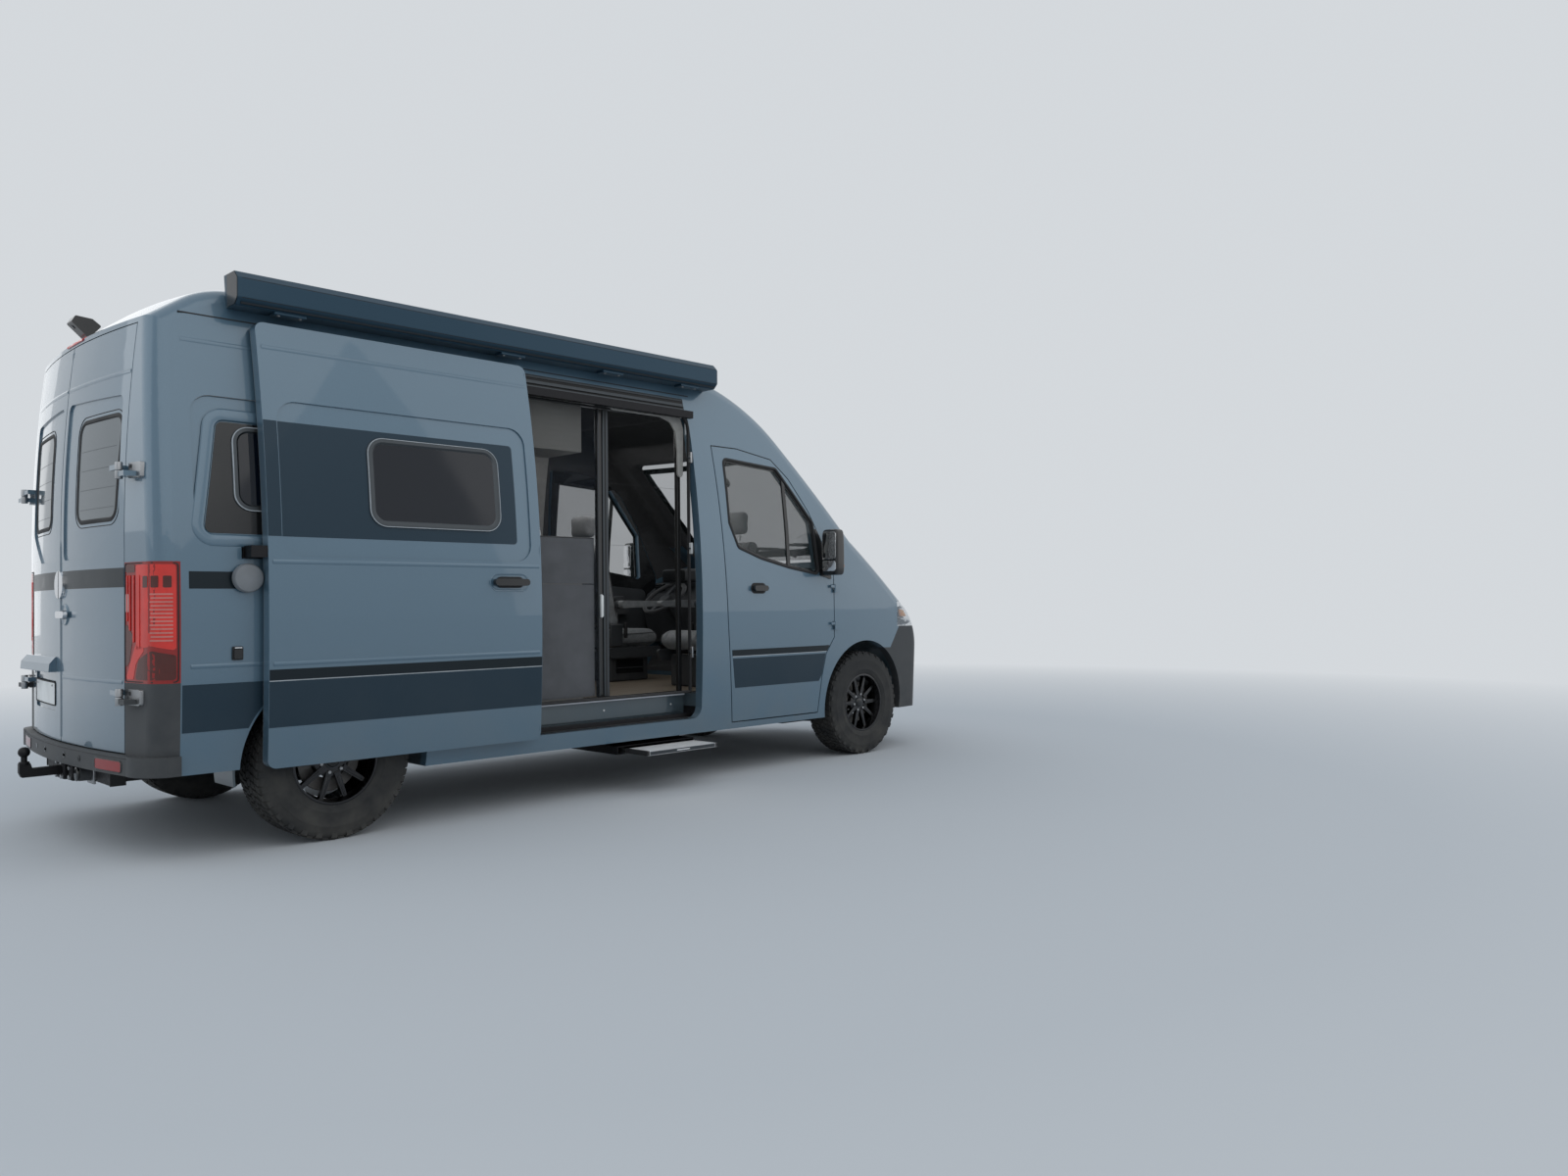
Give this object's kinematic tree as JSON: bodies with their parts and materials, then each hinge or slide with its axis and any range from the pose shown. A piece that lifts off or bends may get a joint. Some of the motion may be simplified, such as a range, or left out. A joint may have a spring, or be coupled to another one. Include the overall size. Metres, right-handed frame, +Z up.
{
  "type": "camper van",
  "caption": "High-roof panel van fitted out as a camper: open sliding door, hinged cab and rear doors, bonnet, steered front wheels, awning, sliding step and living space.",
  "frame": {"origin": "on the ground under the middle of the whole van, halfway along it from the tow ball to the front bumper and on its centre plane", "axes": "+X forward along the van, +Y to the van's left, +Z up"},
  "size_m": [6.0187, 2.345, 2.682],
  "materials": {
    "paint": "gloss",
    "dark_plastic": "satin",
    "glass": "polished",
    "lamp_red": "polished",
    "lamp_clear": "polished",
    "floor_panel": "satin",
    "chassis": "satin",
    "cast_engine": "matte",
    "alloy": "brushed",
    "alloy_dark": "satin",
    "cast_steel": "matte",
    "awning_metal": "satin",
    "seat_cloth": "woven",
    "bed_cloth": "woven",
    "furniture": "satin",
    "tyre": "matte",
    "rim_black": "gloss"
  },
  "bodies": {
    "van_body": {"side_right": "paint", "side_left": "paint", "roof": "paint", "rear_frame": "paint", "sliding_door": "paint", "front_wings": "paint", "cab_frame": "paint", "rear_bumper": "dark_plastic", "front_bumper": "dark_plastic", "roof_fittings": "dark_plastic", "dashboard": "dark_plastic", "windows": "glass", "tail_lamps": "lamp_red", "headlamps": "lamp_clear", "floor": "floor_panel", "underframe": "chassis", "front_suspension": "chassis", "rear_axle": "chassis", "engine": "cast_engine", "tow_bar": "chassis", "awning_case": "awning_metal", "front_seats": "seat_cloth", "kitchen": "furniture", "bed_frame": "furniture", "mattress": "bed_cloth", "cabinets": "furniture", "flyscreen": "alloy_dark", "door_rails": "chassis"},
    "door_front_left": {"cab_door_left": "paint", "cab_glass_left": "glass", "mirror_left": "dark_plastic"},
    "door_front_right": {"cab_door_right": "paint", "cab_glass_right": "glass", "mirror_right": "dark_plastic"},
    "door_rear_left": {"rear_door_left": "paint", "rear_glass_left": "glass"},
    "door_rear_right": {"rear_door_right": "paint", "rear_glass_right": "glass"},
    "bonnet_lid": {"bonnet": "paint"},
    "entry_step": {"step": "alloy"},
    "steer_left": {"knuckle_left": "cast_steel"},
    "steer_right": {"knuckle_right": "cast_steel"},
    "wheel_front_left": {"tyre_front_left": "tyre", "rim_front_left": "rim_black"},
    "wheel_front_right": {"tyre_front_right": "tyre", "rim_front_right": "rim_black"},
    "wheel_rear_left": {"tyre_rear_left": "tyre", "rim_rear_left": "rim_black"},
    "wheel_rear_right": {"tyre_rear_right": "tyre", "rim_rear_right": "rim_black"}
  },
  "joints": [
    {"name": "cab_door_right_hinge", "type": "hinge", "parent": "van_body", "child": "door_front_right", "pos_m": [1.6185, -1.018, 1.2], "axis": [0, 0, 1], "range_deg": [0, 68]},
    {"name": "cab_door_left_hinge", "type": "hinge", "parent": "van_body", "child": "door_front_left", "pos_m": [1.6185, 1.018, 1.2], "axis": [0, 0, -1], "range_deg": [0, 68]},
    {"name": "rear_door_right_hinge", "type": "hinge", "parent": "van_body", "child": "door_rear_right", "pos_m": [-2.8125, -0.79, 1.4], "axis": [0, 0, 1], "range_deg": [0, 180]},
    {"name": "rear_door_left_hinge", "type": "hinge", "parent": "van_body", "child": "door_rear_left", "pos_m": [-2.8125, 0.79, 1.4], "axis": [0, 0, -1], "range_deg": [0, 180]},
    {"name": "bonnet_hinge", "type": "hinge", "parent": "van_body", "child": "bonnet_lid", "pos_m": [2.0875, 0, 1.436], "axis": [0, -1, 0], "range_deg": [0, 55]},
    {"name": "step_slide", "type": "slide", "parent": "van_body", "child": "entry_step", "axis": [0, -1, 0], "range_m": [-0.26, 0]},
    {"name": "steer_left_pivot", "type": "hinge", "parent": "van_body", "child": "steer_left", "pos_m": [1.9865, 0.775, 0.372], "axis": [0, 0, 1], "range_deg": [-35, 35]},
    {"name": "wheel_front_left_spin", "type": "hinge", "parent": "steer_left", "child": "wheel_front_left", "pos_m": [1.9865, 0.855, 0.372], "axis": [0, 1, 0], "continuous": true},
    {"name": "wheel_rear_left_spin", "type": "hinge", "parent": "van_body", "child": "wheel_rear_left", "pos_m": [-1.9375, 0.855, 0.372], "axis": [0, 1, 0], "continuous": true},
    {"name": "steer_right_pivot", "type": "hinge", "parent": "van_body", "child": "steer_right", "pos_m": [1.9865, -0.775, 0.372], "axis": [0, 0, 1], "range_deg": [-35, 35]},
    {"name": "wheel_front_right_spin", "type": "hinge", "parent": "steer_right", "child": "wheel_front_right", "pos_m": [1.9865, -0.855, 0.372], "axis": [0, 1, 0], "continuous": true},
    {"name": "wheel_rear_right_spin", "type": "hinge", "parent": "van_body", "child": "wheel_rear_right", "pos_m": [-1.9375, -0.855, 0.372], "axis": [0, 1, 0], "continuous": true}
  ],
  "couplings": [
    {"joint": "steer_right_pivot", "follows": "steer_left_pivot", "ratio": 1}
  ]
}
